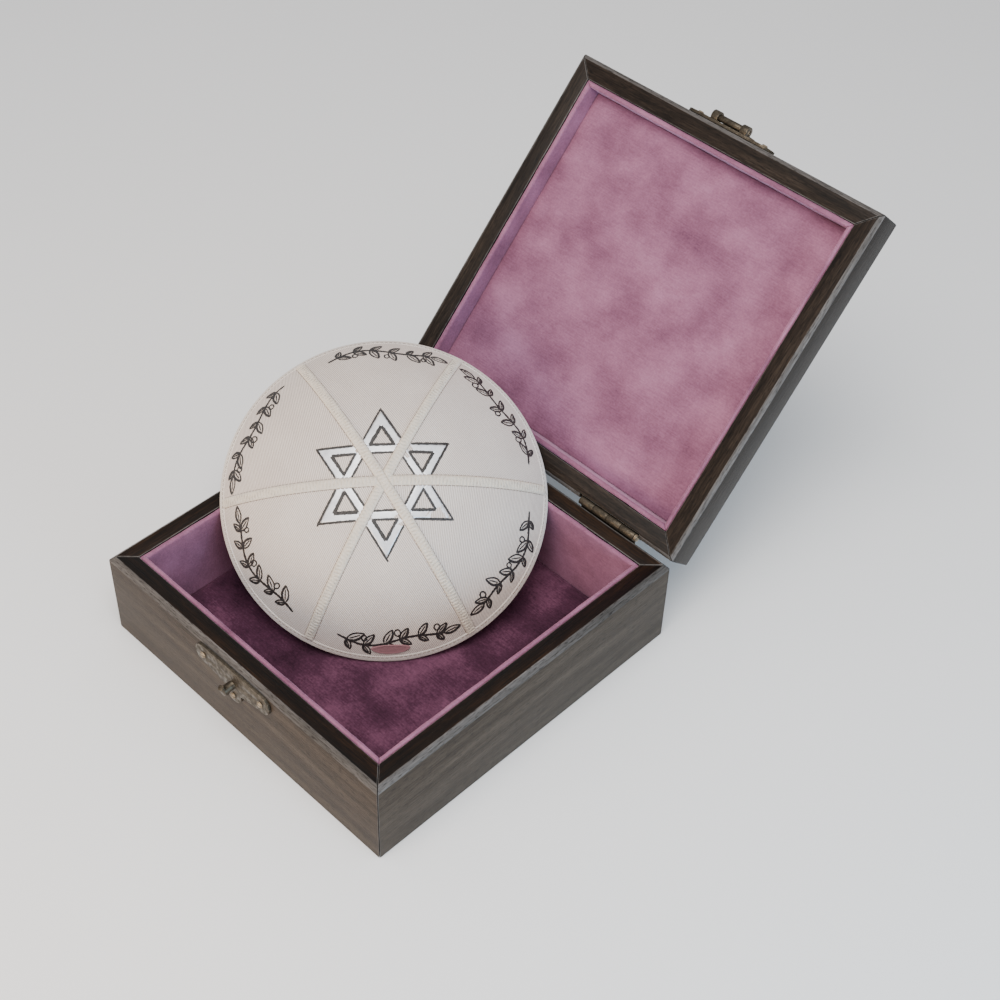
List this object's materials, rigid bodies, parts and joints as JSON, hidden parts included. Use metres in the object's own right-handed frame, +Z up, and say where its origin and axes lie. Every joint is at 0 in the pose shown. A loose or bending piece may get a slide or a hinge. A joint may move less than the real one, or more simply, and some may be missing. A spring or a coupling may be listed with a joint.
{
  "type": "kippah in an open hinged presentation box",
  "caption": "Six-panel cloth kippah with taped seams leaning in an open velvet-lined wooden box with hinged lid and lever clasp.",
  "frame": {"origin": "centre of the box's underside, on the surface that it stands on", "axes": "+Z up, -Y towards the clasp side, +Y towards the hinges, +X to the right seen from the clasp side"},
  "size_m": [0.2101, 0.3721, 0.2036],
  "materials": {
    "wood": "dark wenge stain, satin lacquer, lighter worn chamfers",
    "velvet": "dusky mauve-pink velvet with a soft mottled pile",
    "cloth": "pale pinkish beige fine twill with ink and silver ornament",
    "tape": "cream ribbed seam tape with edge stitching",
    "label": "plain dusty-rose oval, no lettering",
    "bronze": "antique bronze, cast, rubbed bright on the edges"
  },
  "bodies": {
    "box": {"clasp_plate": "bronze", "clasp_screw_1": "bronze", "clasp_screw_2": "bronze", "clasp_screw_3": "bronze", "edge_binding": "cloth", "edge_label": "label", "floor_board": "wood", "floor_pad": "velvet", "hinge_left_box_leaf": "bronze", "hinge_left_box_leaf_screw_1": "bronze", "hinge_left_box_leaf_screw_2": "bronze", "hinge_left_pin": "bronze", "hinge_right_box_leaf": "bronze", "hinge_right_box_leaf_screw_1": "bronze", "hinge_right_box_leaf_screw_2": "bronze", "hinge_right_pin": "bronze", "lining_back": "velvet", "lining_front": "velvet", "lining_left": "velvet", "lining_right": "velvet", "panel_1": "cloth", "panel_2": "cloth", "panel_3": "cloth", "panel_4": "cloth", "panel_5": "cloth", "panel_6": "cloth", "seam_tape_1": "tape", "seam_tape_2": "tape", "seam_tape_3": "tape", "seam_tape_4": "tape", "seam_tape_crown": "tape", "wall_back": "wood", "wall_front": "wood", "wall_left": "wood", "wall_right": "wood"},
    "lid": {"hasp_pin": "bronze", "hasp_plate": "bronze", "hasp_screw_1": "bronze", "hasp_screw_2": "bronze", "hinge_left_lid_leaf": "bronze", "hinge_left_lid_leaf_screw_1": "bronze", "hinge_left_lid_leaf_screw_2": "bronze", "hinge_right_lid_leaf": "bronze", "hinge_right_lid_leaf_screw_1": "bronze", "hinge_right_lid_leaf_screw_2": "bronze", "lid_board": "wood", "lid_lining_back": "velvet", "lid_lining_front": "velvet", "lid_lining_left": "velvet", "lid_lining_right": "velvet", "lid_pad": "velvet", "rail_back": "wood", "rail_front": "wood", "rail_left": "wood", "rail_right": "wood"},
    "hasp": {"hasp_lever": "bronze"}
  },
  "joints": [
    {"name": "lid_hinge", "type": "hinge", "parent": "box", "child": "lid", "pos_m": [0, 0.1003, 0.0543], "axis": [-1, 0, 0], "range_deg": [-35, 0]},
    {"name": "hasp_hinge", "type": "hinge", "parent": "lid", "child": "hasp", "pos_m": [-0.0013, 0.24296, 0.20057], "axis": [1, 0, 0], "range_deg": [0, 180]}
  ]
}
